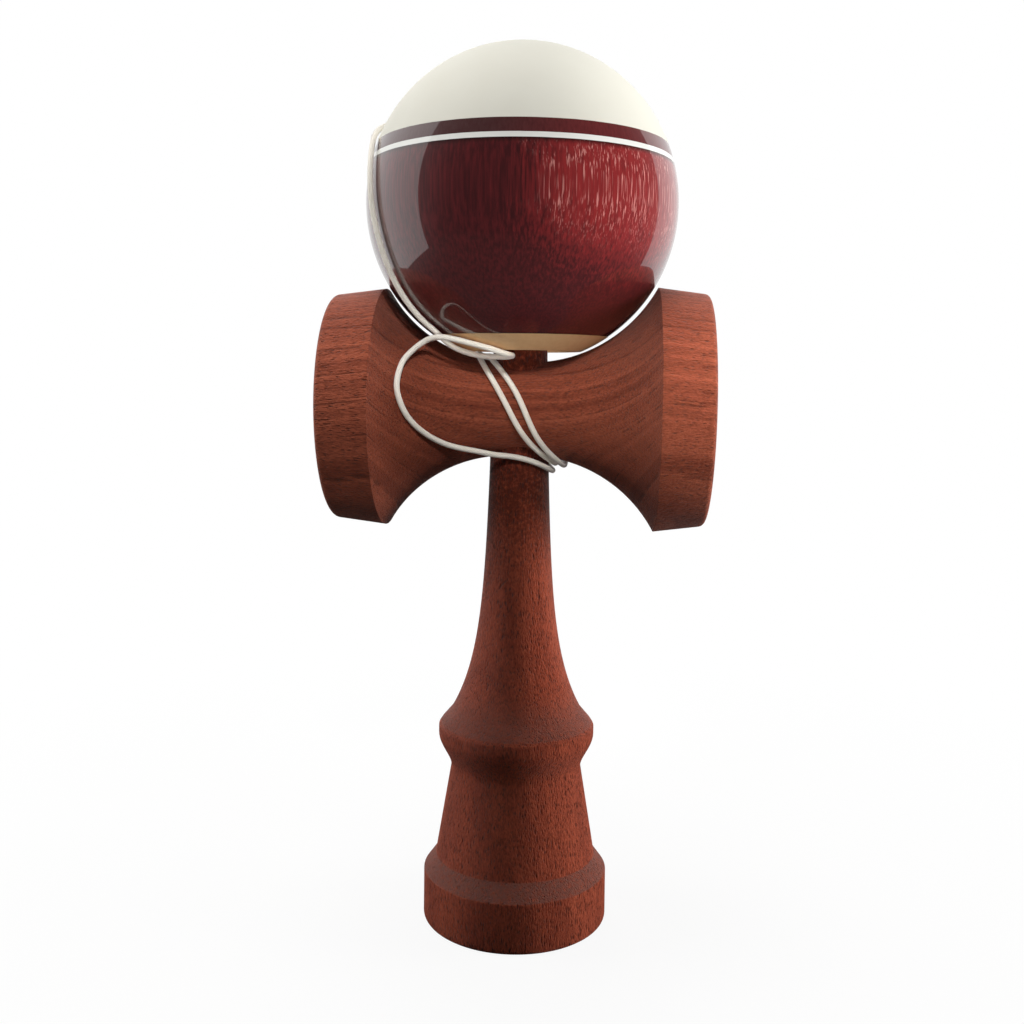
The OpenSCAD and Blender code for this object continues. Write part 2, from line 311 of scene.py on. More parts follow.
# the winding: a helix whose turns slant to both sides of the shaft and part on the upper front
# its last stretch swings aside to the hole
def wound(turn):
    route = stringRoute
    degrees = route["windFrom"] - 360 * turn
    a = np.radians(degrees)
    parted = np.cos((a - np.radians(route["windWide"])) / 2) ** route["windFocus"]
    pace = route["windStep"] + route["windOpen"] * np.abs(np.cos(a)) + route["windSpread"] * parted
    skewed = a + np.radians(route["windSkew"]) * np.cos(a)
    slope = np.sin(skewed) - route["windPeak"] * np.sin(3 * skewed)
    last = np.maximum(turn - route["asideTurn"], 0) / (route["turns"] - route["asideTurn"])
    aside = route["windAside"] * (1 - np.cos(np.pi * last)) / 2
    x = route["windMiddle"] + pace * (turn - route["windMiddleTurn"]) - route["windSlant"] * slope + aside
    return onNeck(x, degrees, 0)


# where the winding ends, its way there, the way out of the neck, and the hole's mouth
def holeInNeck():
    nearly = stringRoute["turns"] - 0.01
    last, before = wound(np.array([stringRoute["turns"], nearly]))
    way = unit(last - before)
    out = unit(np.array([0, last[1], last[2] - shared["crossHeight"]]))
    return last, way, out, last + shared["stringBend"] * way


# a quarter bend out of the ball's pole, over the ball, the fold, the loop, the winding,
# a quarter bend into the neck's hole, and straight in to the knot
def stringPoints():
    route, bend = stringRoute, shared["stringBend"]
    quarter = np.radians(np.arange(5) * 22.5)[:, None]
    first = np.radians(route["overBall"][0][0])
    poleWay = np.array([-np.sin(first), -np.cos(first), 0])
    up = np.array([0, 0, 1.0])
    pole = shared["exitHeight"] * up + bend * (1 - np.cos(quarter)) * poleWay + bend * np.sin(quarter) * up
    fold = np.asarray(route["fold"]) + shared["crossHeight"] * up
    loop = onNeck(*np.asarray(route["loop"], float).T)
    count = round(route["turnPoints"] * route["turns"]) + 1
    winding = wound(route["turns"] * np.linspace(0, 1, count))
    last, way, out, hole = holeInNeck()
    end = last + bend * np.sin(quarter[1:]) * way - bend * (1 - np.cos(quarter[1:])) * out
    inside = hole - route["knotDepth"] * out
    return np.concatenate([pole, onBall(route["overBall"]), fold, loop, winding, end, inside[None]])


# a natural cubic spline through the points by the distance between them, set out again at even spacing
def evenSpline(points, spacing, fineness=24):
    gap = np.linalg.norm(np.diff(points, axis=0), axis=1)
    knot = np.concatenate([[0], np.cumsum(gap)])
    count = len(knot)
    k = np.arange(1, count - 1)
    system = np.zeros((count, count))
    system[0, 0] = system[-1, -1] = 1
    system[k, k - 1] = gap[:-1]
    system[k, k] = 2 * (gap[:-1] + gap[1:])
    system[k, k + 1] = gap[1:]
    slope = np.diff(points, axis=0) / gap[:, None]
    bends = np.zeros_like(points)
    bends[1:-1] = 6 * (slope[1:] - slope[:-1])
    curve = np.linalg.solve(system, bends)
    fine = np.linspace(0, knot[-1], fineness * count)
    i = np.clip(np.searchsorted(knot, fine, side="right") - 1, 0, count - 2)
    before = (knot[i + 1] - fine)[:, None]
    after = (fine - knot[i])[:, None]
    span = gap[i][:, None]
    line = (curve[i] * before**3 + curve[i + 1] * after**3) / (6 * span)
    line += (points[i] / span - curve[i] * span / 6) * before
    line += (points[i + 1] / span - curve[i + 1] * span / 6) * after
    along = np.concatenate([[0], np.cumsum(np.linalg.norm(np.diff(line, axis=0), axis=1))])
    even = np.linspace(0, along[-1], round(along[-1] / spacing) + 1)
    return np.stack([np.interp(even, along, line[:, c]) for c in range(3)], -1), even


# two directions across a line that follow it without twisting
# they start from a fixed guide, and the twist that it adds is summed and taken out
def sideways(line):
    way = unit(np.gradient(line, axis=0))
    guide = unit(np.array([0.31, 0.52, 0.8]))
    side = unit(guide - way * (way @ guide)[:, None])
    was, now, held = way[:-1], way[1:], side[:-1]
    hinge = np.cross(was, now)
    cosine = np.sum(was * now, -1, keepdims=True)
    carried = held * cosine + np.cross(hinge, held)
    carried += hinge * np.sum(hinge * held, -1, keepdims=True) / (1 + cosine)
    sine = np.sum(np.cross(carried, side[1:]) * now, -1)
    added = np.arctan2(sine, np.sum(carried * side[1:], -1))
    twist = np.concatenate([[0], np.cumsum(added)])[:, None]
    first = side * np.cos(twist) - np.cross(way, side) * np.sin(twist)
    return first, np.cross(way, first)


# a twisted string: rings round the line whose radius swells on each ply, turning once in a pitch
def addString(name, line, along):
    route = stringRoute
    first, second = sideways(line)
    angle = np.arange(route["sides"]) * fullTurn / route["sides"]
    phase = route["plies"] * (angle[None, :] - fullTurn * along[:, None] / route["plyPitch"])
    depth = route["plyDepth"]
    radius = shared["stringDiameter"] / 2 * (1 - depth + depth * np.cos(phase))
    ring = first[:, None] * np.cos(angle)[:, None] + second[:, None] * np.sin(angle)[:, None]
    grid = line[:, None] + radius[..., None] * ring
    return addSkin(name, grid * mm, endPoints=line[[0, -1]] * mm, layName="lay")


stringLine, stringAlong = evenSpline(stringPoints(), stringRoute["ringSpacing"])
stringOut = addString("string", stringLine, stringAlong)
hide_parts("string_over_ball", "string_loop", "string_winding")
print("string", len(stringLine), "rings,", round(stringAlong[-1], 1), "mm")

insideHeights = np.linspace(shared["beadFoot"], shared["exitHeight"], stringRoute["insideRings"])
insideLine = np.stack([0 * insideHeights, 0 * insideHeights, insideHeights], -1)
stringIn = addString("string_inside", insideLine, insideHeights - shared["exitHeight"])
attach(stringIn, "bead")
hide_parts("string_in_ball")


# stopper knots: a swelling outline with three strands of string wrapped round it
stopperKnot = {
    "length": 2.0,
    "radius": 1.36,
    "endRadius": 0.62,
    "strands": 3,
    "wraps": 1.25,
    "groove": 0.09,
    "rows": 40,
    "columns": 48,
    "ballFoot": 149.0,  # height of the knot under the bead
}


# radius = (end + swell root of sin(pi t)) (1 - groove / 2 (1 - cos(strands (angle - wraps turns t))))
def addKnot(name, foot, out):
    knot = stopperKnot
    t = np.linspace(0, 1, knot["rows"])[:, None]
    angle = (np.arange(knot["columns"]) * fullTurn / knot["columns"])[None, :]
    groove = knot["groove"] * (1 - np.cos(knot["strands"] * (angle - fullTurn * knot["wraps"] * t)))
    body = knot["endRadius"] + (knot["radius"] - knot["endRadius"]) * np.sqrt(np.sin(np.pi * t))
    radius = body * (1 - groove / 2)
    side = unit(np.cross(out, [1.0, 0, 0]))
    other = np.cross(out, side)
    grid = foot + radius[..., None] * (np.cos(angle)[..., None] * side + np.sin(angle)[..., None] * other)
    grid = grid + (knot["length"] * t)[..., None] * out
    return addSkin(name, grid * mm, endPoints=np.stack([foot, foot + knot["length"] * out]) * mm)


_, _, neckOut, neckMouth = holeInNeck()
ballKnot = addKnot("knot_in_ball", np.array([0, 0, stopperKnot["ballFoot"]]), np.array([0, 0, 1.0]))
neckKnotDepth = stringRoute["knotDepth"] + stopperKnot["length"]
neckKnot = addKnot("knot_in_neck", neckMouth - neckKnotDepth * neckOut, neckOut)
for knot, body, node in ((ballKnot, "bead", "ball_knot"), (neckKnot, "crosspiece", "crosspiece_knot")):
    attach(knot, body)
    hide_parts(node)

# the string follows the ball above its middle, and stays on the neck below the ball
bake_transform(stringOut)
print("knots tied")


# the handle: turned from one stick, with a cup in its base
handleShape = {
    "height": 148,
    "cupMouth": 15.6,
    "cupDepth": 8,
    "cupRound": 0.5,
    "baseRadius": 18.8,
    "baseHeight": 10.3,
    "baseRound": 1.0,
    "bevelHeight": 3.4,
    "bodyRadius": 16.1,
    "waistRadius": 13.2,
    "waistHeight": 32,
    "waistRound": 6,
    "collarRadius": 15.75,
    "collarHeight": 40.8,
    "collarBand": 1.9,
    "collarRound": 1.5,
    "shoulder": 3,
    "shoulderRound": 4,
    "edge": 0.3,
    "flare": 6.1,
    "flareFade": 11.5,
    "flareEnd": 93.2,
    "flareCrowd": 1.4,  # crowds the flare's rows towards the shoulder
    "spikeFoot": 115.6,
    "spikeRound": 3,
    "tipRadius": 2.3,
    "tipFrom": 8,  # degrees up where the round tip starts
    "columns": 192,
    "rows": {"cup": 24, "swell": 16, "flare": 48, "tip": 14},
}


# from the axis in the cup: the cup's arc, the base, its bevel, straight to the waist, a swell of
# t t (3 - 2 t) to the collar, the shoulder, a flare that dies away as exp(-height / fade) into the
# shaft's taper, the spike and its round tip
def handleOutline(shape):
    edge, rows = shape["edge"], shape["rows"]
    cup = bowlRadius(shape["cupMouth"], shape["cupDepth"])
    cupSpread = np.degrees(np.arcsin(shape["cupMouth"] / cup))
    bowl = arc((0, shape["cupDepth"] - cup), cup, 90, 90 - cupSpread, rows["cup"])
    base, bevelTop = shape["baseRadius"], shape["baseHeight"] + shape["bevelHeight"]
    waist, waistHeight = shape["waistRadius"], shape["waistHeight"]
    collar, collarTop = shape["collarRadius"], shape["collarHeight"]
    collarFoot = collarTop - shape["collarBand"]
    t = np.linspace(0, 1, rows["swell"] + 1)[1:]
    swell = waist + (collar - waist) * t * t * (3 - 2 * t)
    swell = np.stack([swell, waistHeight + (collarFoot - waistHeight) * t], -1)
    flareFoot, flareEnd, fade = collarTop + shape["shoulder"], shape["flareEnd"], shape["flareFade"]
    z = flareFoot + (flareEnd - flareFoot) * np.linspace(0, 1, rows["flare"] + 1) ** shape["flareCrowd"]
    lift = np.exp(-(z - flareFoot) / fade) - np.exp(-(flareEnd - flareFoot) / fade)
    neck = np.stack([shaftRadius(z) + shape["flare"] * lift, z], -1)
    tipRadius = shape["tipRadius"]
    tip = arc((0, shape["height"] - tipRadius), tipRadius, shape["tipFrom"], 90, rows["tip"])
    corners = [
        plain(bowl[:-1]),
        [(shape["cupMouth"], 0, shape["cupRound"]), (base, 0, shape["baseRound"])],
        [(base - edge / 4, shape["baseHeight"], 2 * edge)],
        [(shape["bodyRadius"] + edge / 2, bevelTop, 1.5 * edge)],
        [(waist, waistHeight, shape["waistRound"])],
        plain(swell[:-1]),
        [(*swell[-1], shape["collarRound"]), (collar, collarTop - edge, 2 * edge)],
        [(collar - 2 * edge, collarTop + 2 * edge, 2 * edge), (*neck[0], shape["shoulderRound"])],
        plain(neck[1:]),
        [(shaftRadius(shape["spikeFoot"]), shape["spikeFoot"], shape["spikeRound"])],
        plain(tip),
    ]
    return eased(np.concatenate(corners))


handle = addTurned("handle_turned", handleOutline(handleShape), handleShape["columns"])
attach(handle, "handle")
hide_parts("handle")
print("handle turned")


# the crosspiece: turned about X, then bored for the shaft and drilled for the string
crossShape = {
    "length": 72.6,
    "big": {"ridge": 23.7, "rim": 22.45, "mouth": 19.5, "depth": 12},
    "small": {"ridge": 23.2, "rim": 21.95, "mouth": 18, "depth": 10},
    "ridgeRound": 0.45,
    "rimRound": 1.1,
    "mouthRound": 0.8,
    "roundSteps": 8,
    "neckPoints": 44,
    "cupSteps": 36,
    "columns": 224,
    "boreReach": 11.2,
    "boreGap": 0.08,
    "boreColumns": 96,
    "drillRadius": 0.85,
    "drillOver": 1.5,  # how far the cutter stands out of the wood
    "drillColumns": 48,
    "pocketRadius": 1.7,
    "pocketDepth": 3.5,
    "sharpAngle": 35,  # degrees: sharper edges aren't smoothed
}
# a turn that lays an outline's Z axis along X
alongX = np.array([[0.0, 0, 1], [1, 0, 0], [0, 1, 0]])


# half of the outline from the neck's middle out
# the neck's arc, straight to the rim, and the bowl back to the axis
def halfCross(shape, side):
    end, curve = shape["length"] / 2, shared["neckCurve"]
    mouth, depth = side["mouth"], side["depth"]
    drop = shared["neckRadius"] + curve - side["ridge"]
    ridge = shared["neckFlat"] + np.sqrt(curve * curve - drop * drop)
    t = np.linspace(0, 1, shape["neckPoints"])
    x = shared["neckFlat"] + (ridge - shared["neckFlat"]) * np.sin(t * np.pi / 2)
    neck = np.stack([neckRadius(x), x], -1)
    bowl = bowlRadius(mouth, depth)
    spread = np.degrees(np.arcsin(mouth / bowl))
    cup = arc((0, end - depth + bowl), bowl, spread - 90, -90, shape["cupSteps"])
    return np.concatenate([
        plain(neck[:-1]),
        [(*neck[-1], shape["ridgeRound"]), (side["rim"], end, shape["rimRound"])],
        [(mouth, end, shape["mouthRound"])],
        plain(cup[1:]),
    ])


# the small cup's half turned over, then the big cup's half
def crossOutline(shape):
    right = halfCross(shape, shape["big"])
    left = halfCross(shape, shape["small"])[::-1] * (1, -1, 1)
    return eased(np.concatenate([left, right]), steps=shape["roundSteps"])


# takes the cutters' volumes out of a piece and drops the cutters
def cut(piece, cutters, sharpAngle):
    for cutter in cutters:
        change = piece.modifiers.new("cut", "BOOLEAN")
        change.operation = "DIFFERENCE"
        change.solver = "EXACT"
        change.object = cutter
    worked = piece.evaluated_get(bpy.context.evaluated_depsgraph_get())
    old = piece.data
    piece.data = bpy.data.meshes.new_from_object(worked)
    piece.modifiers.clear()
    bpy.data.meshes.remove(old)
    for cutter in cutters:
        bpy.data.meshes.remove(cutter.data)
    piece.data.shade_smooth()
    piece.data.set_sharp_from_angle(angle=np.radians(sharpAngle))


# the turned piece less a bore with the shaft's taper, and less the string's hole,
# which widens at its mouth and ends in the knot's pocket
def addCrosspiece(shape):
    height = shared["crossHeight"]
    lay = (alongX, np.array([0, 0, height]))
    piece = addTurned("crosspiece_turned", crossOutline(shape), shape["columns"], lay)
    low, high, gap = height - shape["boreReach"], height + shape["boreReach"], shape["boreGap"]
    bore = [(0, low), (shaftRadius(low) + gap, low), (shaftRadius(high) + gap, high), (0, high)]
    hole, pocket, over = shape["drillRadius"], shape["pocketRadius"], shape["drillOver"]
    knotTop, sink = -stringRoute["knotDepth"], 2 * shared["stringOff"]
    pocketFoot = knotTop - shape["pocketDepth"]
    drill = [
        (0, pocketFoot), (pocket, pocketFoot), (pocket, knotTop), (hole, knotTop),
        (hole, -sink), (hole + sink + over, over), (0, over),
    ]
    side = np.array([1.0, 0, 0])
    drillTurn = np.stack([side, np.cross(neckOut, side), neckOut], -1)
    cutters = [
        addTurned("bore_cutter", np.array(bore), shape["boreColumns"]),
        addTurned("drill_cutter", np.array(drill), shape["drillColumns"], (drillTurn, neckMouth)),
    ]
    cut(piece, cutters, shape["sharpAngle"])
    return piece


crosspiece = addCrosspiece(crossShape)
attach(crosspiece, "crosspiece")
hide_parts("crosspiece")
print("crosspiece turned and bored:", len(crosspiece.data.polygons), "faces")


# the ball: a sphere with the spike's hole below, the string's hole above and a softened mouth
ballShape = {
    "holeRadius": 10.5,
    "mouthBevel": 1.2,
    "ceiling": 159.3,
    "stringHole": 0.85,
    "exitRound": 0.5,
    "stringHoleRound": 0.15,
    "ceilingRound": 0.6,
    "mouthRound": 0.3,
    "lipRound": 0.25,
    "columns": 256,
    "rows": 150,
}


# the sphere's arc from the mouth's lip to the string's countersink, down the string's hole,
# out along the ceiling, down the spike's hole and out over the mouth's bevel
def ballOutline(shape):
    radius, middle = shared["ballRadius"], shared["ballHeight"]
    hole, stringHole, ceiling = shape["holeRadius"], shape["stringHole"], shape["ceiling"]
    mouth = hole + shape["mouthBevel"]
    low = np.degrees(np.arcsin(np.sqrt(radius**2 - mouth**2) / radius))
    exitWidth = stringHole + middle + radius - shared["exitHeight"]
    high = np.degrees(np.arccos(exitWidth / radius))
    side = arc((0, middle), radius, -low, high, shape["rows"])
    return easedLoop(np.concatenate([
        plain(side[1:-1]),
        [(*side[-1], shape["exitRound"]), (stringHole, shared["exitHeight"], shape["exitRound"])],
        [(stringHole, ceiling, shape["stringHoleRound"]), (hole, ceiling, shape["ceilingRound"])],
        [(hole, side[0][1] + shape["mouthBevel"], shape["mouthRound"]), (*side[0], shape["lipRound"])],
    ]))


ball = addSkin("ball_turned", turned(ballOutline(ballShape), ballShape["columns"]) * mm, closed=True)
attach(ball, "ball")
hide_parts("ball")
print("ball turned")


# the bead: a barrel on the string, in the top of the spike's hole
beadShape = {
    "radius": 4.5,
    "endRadius": 2.9,
    "hole": 0.85,
    "height": 8,
    "endRound": 0.3,
    "holeRound": 0.25,
    "points": 25,
    "columns": 72,
}


# up the barrel, radius = end + swell sin(t) at height (1 - cos(t)) / 2, and down the hole
def beadOutline(shape):
    t = np.linspace(0, np.pi, shape["points"])
    swell = shape["endRadius"] + (shape["radius"] - shape["endRadius"]) * np.sin(t)
    side = np.stack([swell, shape["height"] * (1 - np.cos(t)) / 2], -1)
    hole, endRound, holeRound = shape["hole"], shape["endRound"], shape["holeRound"]
    corners = np.concatenate([
        [(*side[0], endRound)],
        plain(side[1:-1]),
        [(*side[-1], endRound), (hole, shape["height"], holeRound), (hole, 0, holeRound)],
    ])
    return easedLoop(corners) + [0, shared["beadFoot"]]


bead = addSkin("swivel_bead", turned(beadOutline(beadShape), beadShape["columns"]) * mm, closed=True)
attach(bead, "bead")
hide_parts("bead")
print("bead turned")


# a node's output, which takes +, - and * like a number, each by a Math node
class Wire:
    def __init__(self, socket):
        self.socket = socket
        self.tree = socket.id_data

    def __add__(self, other):
        return calc("ADD", self, other)

    def __sub__(self, other):
        return calc("SUBTRACT", self, other)

    def __rsub__(self, other):
        return calc("SUBTRACT", other, self)

    def __mul__(self, other):
        return calc("MULTIPLY", self, other)


def outOf(node, output=0):
    return Wire(node.outputs[output])


# links or sets a node's inputs by name or number
def feed(node, inputs):
    for name, value in inputs.items():
        if isinstance(value, Wire):
            node.id_data.links.new(value.socket, node.inputs[name])
        else:
            node.inputs[name].default_value = value


# adds a node with its settings and inputs
def put(tree, kind, inputs, **settings):
    node = tree.nodes.new("ShaderNode" + kind)
    for name, value in settings.items():
        setattr(node, name, value)
    feed(node, inputs)
    return node


def calc(operation, *values):
    tree = next(value.tree for value in values if isinstance(value, Wire))
    return outOf(put(tree, "Math", dict(enumerate(values)), operation=operation))


def vectorCalc(operation, *vectors, output=0):
    inputs = dict(enumerate(vectors))
    return outOf(put(vectors[0].tree, "VectorMath", inputs, operation=operation), output)


def distance(vector):
    return vectorCalc("LENGTH", vector, output="Value")


def facing(vector, way):
    return vectorCalc("DOT_PRODUCT", vector, way, output="Value")


def parts(vector):
    node = put(vector.tree, "SeparateXYZ", {0: vector})
    return [outOf(node, k) for k in range(3)]


# a soft step from 0 to 1 between two values
def step(value, low, high):
    inputs = {"Value": value, "From Min": low, "From Max": high}
    return outOf(put(value.tree, "MapRange", inputs, interpolation_type="SMOOTHSTEP"))


def mixed(share, first, second):
    return outOf(put(share.tree, "Mix", {0: share, 6: first, 7: second}, data_type="RGBA"), 2)


# noise with so many cells per unit along X, Y and Z
def noise(place, spread, detail, roughness=0.5):
    vector = vectorCalc("MULTIPLY", place, spread)
    inputs = {"Vector": vector, "Scale": 1.0, "Detail": detail, "Roughness": roughness}
    return outOf(put(place.tree, "TexNoise", inputs))


# noise along one value
def noiseAlong(value, spread, detail, roughness=0.5):
    inputs = {"W": value * spread, "Scale": 1.0, "Detail": detail, "Roughness": roughness}
    return outOf(put(value.tree, "TexNoise", inputs, noise_dimensions="1D"))


def bump(height, strength, depth):
    inputs = {"Height": height, "Strength": strength, "Distance": depth}
    return outOf(put(height.tree, "Bump", inputs))


def newGroup(name, inputs, outputs):
    tree = bpy.data.node_groups.new(name, "ShaderNodeTree")
    for way, sockets in (("INPUT", inputs), ("OUTPUT", outputs)):
        for label, kind in sockets.items():
            tree.interface.new_socket(name=label, in_out=way, socket_type="NodeSocket" + kind)
    start = tree.nodes.new("NodeGroupInput")
    return tree, {label: outOf(start, label) for label in inputs}, tree.nodes.new("NodeGroupOutput")


def newMaterial(name):
    material = bpy.data.materials.new(name)
    material.use_nodes = True
    tree = material.node_tree
    return material, tree, tree.nodes["Principled BSDF"]


# a colour as the eye sees it, 0 to 255, made linear
def seen(red, green, blue):
    c = np.array([red, green, blue]) / 255
    return (*np.where(c <= 0.04045, c / 12.92, ((c + 0.055) / 1.055) ** 2.4), 1.0)


def objectPlace(tree):
    return outOf(put(tree, "TexCoord", {}), "Object")


# place in millimetres from a middle, with the grain turned to run along Z
def grainPlace(tree, middle, degrees=(0, 0, 0)):
    inputs = {"Vector": objectPlace(tree), "Location": tuple(-np.array(middle) * mm)}
    moved = outOf(put(tree, "Mapping", inputs))
    inputs = {"Vector": moved, "Rotation": tuple(np.radians(degrees)), "Scale": (1 / mm,) * 3}
    return outOf(put(tree, "Mapping", inputs))


# how the wood grows: each noise has its cells per millimetre, detail and roughness
woodGrain = {
    "drift": ((0.03, 0.03, 0.012), 2.0),
    "driftReach": 4.0,  # millimetres that the layers wander
    "tone": (0.5, 5.0, 0.6),
    "ridge": (0.22, 3.0),
    "lineWidth": 0.02,
    "fibre": ((3.2, 3.2, 0.3), 3.0, 0.62),
    "grit": ((3.6, 3.6, 1.5), 2.0, 0.6),
    "crowd": ((0.5, 0.5, 0.09), 2.0),
    "rows": (0.8, 2.0),
    "rowEdge": (0.46, 0.6),
    "mottle": ((0.12, 0.12, 0.03), 3.0),
    "finePores": {"spread": (2.7, 2.7, 0.75), "reach": (0.1, 0.42)},
    "longPores": {"spread": (1.7, 1.7, 0.34), "reach": (0.06, 0.3)},
    "fineShare": 0.8,
    "chosenShare": 0.7,
    "crowdShare": 0.6,
    "chosenEdge": (0.4, 0.75),
    "fibreShare": 0.6,
    "mottleShare": 0.4,
    "lightEdge": (0.15, 0.85),
    "pitEdge": (0.3, 0.58),
    "pitShare": 0.42,
    "streakEdge": (0.4, 0.62),
    "streakShare": 0.8,
    "poreShare": 0.85,
    "roughness": 0.52,
    "fibreRoughness": 0.16,
    "streakDent": 0.3,
    "fibreRelief": 0.4,
    "gritRelief": 0.9,
}


# pores as dashes along Z: cells stretched along the grain, dark near the middles of those that are chosen
def poreDashes(place, pores, crowd, grain):
    vector = vectorCalc("MULTIPLY", place, pores["spread"])
    cells = put(place.tree, "TexVoronoi", {"Vector": vector, "Scale": 1.0})
    chosen = outOf(put(place.tree, "SeparateColor", {0: outOf(cells, "Color")}))
    dash = 1.0 - step(outOf(cells, "Distance"), *pores["reach"])
    share = chosen * grain["chosenShare"] + crowd * grain["crowdShare"]
    return dash * step(share, *grain["chosenEdge"])


# open-pored wood, grain along Z: growth layers by the distance from an off-centre pith, fibres, grit
# and pores stretched along the grain, which are short dashes on the sides and dots on the ends
def makeWoodGroup(grain):
    inputs = {
        "Place": "Vector", "Pith": "Vector", "Light": "Color", "Dark": "Color", "Pore": "Color",
        "Pores": "Float", "Figure": "Float",
    }
    outputs = {"Color": "Color", "Roughness": "Float", "Height": "Float"}
    tree, source, result = newGroup("open_pored_wood", inputs, outputs)
    place, figure, porous = source["Place"], source["Figure"], source["Pores"]
    fromPith = vectorCalc("SUBTRACT", place, source["Pith"])
    far = distance(vectorCalc("MULTIPLY", fromPith, (1, 1, 0)))
    layer = far + (noise(place, *grain["drift"]) - 0.5) * grain["driftReach"]
    tone = (noiseAlong(layer, *grain["tone"]) - 0.5) * figure
    ridge = calc("ABSOLUTE", noiseAlong(layer, *grain["ridge"]) - 0.5)
    lines = 1.0 - step(ridge, 0.0, grain["lineWidth"])
    fibre = noise(place, *grain["fibre"])
    grit = noise(place, *grain["grit"])
    crowd = noise(place, *grain["crowd"])
    mottle = noise(place, *grain["mottle"])
    # long pores keep to rows in figured wood
    rows = step(noiseAlong(layer, *grain["rows"]), *grain["rowEdge"])
    rows = 1.0 - figure * (1.0 - rows)
    fine = poreDashes(place, grain["finePores"], crowd, grain)
    long = poreDashes(place, grain["longPores"], crowd, grain) * rows
    pores = calc("MAXIMUM", fine * grain["fineShare"], long) * porous
    pitted = (1.0 - step(grit, *grain["pitEdge"])) * porous
    streak = lines * step(crowd, *grain["streakEdge"]) * figure
    share = tone + fibre * grain["fibreShare"] + mottle * grain["mottleShare"]
    colour = mixed(step(share, *grain["lightEdge"]), source["Dark"], source["Light"])
    for mark, strength in ((pitted, "pitShare"), (streak, "streakShare"), (pores, "poreShare")):
        colour = mixed(mark * grain[strength], colour, source["Pore"])
    raised = fibre * grain["fibreRelief"] + grit * grain["gritRelief"]
    feed(result, {
        "Color": colour,
        "Roughness": fibre * grain["fibreRoughness"] + grain["roughness"],
        "Height": raised - (pores + streak * grain["streakDent"]),
    })
    return tree


woodGroup = makeWoodGroup(woodGrain)

# bare reddish brown wood of the handle and the crosspiece
handleWood = {
    "middle": (0, 0, 74),
    "grain": (0, 0, 0),
    "pith": (26.0, 34.0, 0.0),
    "light": seen(194, 96, 68),
    "dark": seen(118, 50, 36),
    # painted light by height: a painted grey sheen on the two upward bevels, and painted shade on the
    # shaft where it goes in under the crosspiece
    "paintedSheenAndShade": [
        {"from": (10.3, 10.5), "to": (13.5, 13.8), "share": 0.85, "tint": seen(124, 80, 70)},
        {"from": (41.0, 41.2), "to": (42.5, 49.5), "share": 0.6, "tint": seen(124, 80, 70)},
        {"from": (58.0, 92.0), "to": (114.0, 120.0), "share": 0.8, "tint": seen(56, 22, 15)},
    ],
    "specks": ((1.6, 1.6, 1.6), 3.0, 0.65),
    "speckEdge": (0.2, 0.6),
    "pore": seen(46, 20, 15),
    "pores": 1.0,
    "figure": 0.2,
    "relief": 1.0,
    "depth": 0.0003,
    "sheen": 0.07,
    "sheenRoughness": 0.45,
    "specular": 0.22,
}
crossWood = {
    **handleWood,
    "middle": (0, 0, shared["crossHeight"]),
    "grain": (0, -90, 0),
    "pith": (-46.0, 16.0, 0.0),
    "light": seen(178, 95, 69),
    "dark": seen(110, 52, 37),
    "paintedSheenAndShade": [],
    "pores": 0.7,
    "figure": 0.6,
}


# lays each band of painted sheen or painted shade over the colour, in specks, fading in and out between
# its heights
def withPaintedSheenAndShade(place, wood, colour):
    height = parts(place)[2] + wood["middle"][2]
    specks = step(noise(place, *wood["specks"]), *wood["speckEdge"])
    for band in wood["paintedSheenAndShade"]:
        within = step(height, *band["from"]) * (1.0 - step(height, *band["to"]))
        colour = mixed(within * band["share"] * specks, colour, band["tint"])
    return colour


def makeWood(name, wood):
    material, tree, skin = newMaterial(name)
    place = grainPlace(tree, wood["middle"], wood["grain"])
    inputs = {
        "Place": place, "Pith": wood["pith"], "Light": wood["light"], "Dark": wood["dark"],
        "Pore": wood["pore"], "Pores": wood["pores"], "Figure": wood["figure"],
    }
    made = put(tree, "Group", inputs, node_tree=woodGroup)
    colour = outOf(made, "Color")
    feed(skin, {
        # the colour carries the painted sheen and shade bands where a wood has any
        "Base Color": withPaintedSheenAndShade(place, wood, colour) if wood["paintedSheenAndShade"] else colour,
        "Roughness": outOf(made, "Roughness"),
        "Specular IOR Level": wood["specular"],
        "Sheen Weight": wood["sheen"],
        "Sheen Roughness": wood["sheenRoughness"],
        "Normal": bump(outOf(made, "Height"), wood["relief"], wood["depth"]),
    })
    return material


handle.data.materials.append(makeWood("handle_wood", handleWood))
crosspiece.data.materials.append(makeWood("crosspiece_wood", crossWood))

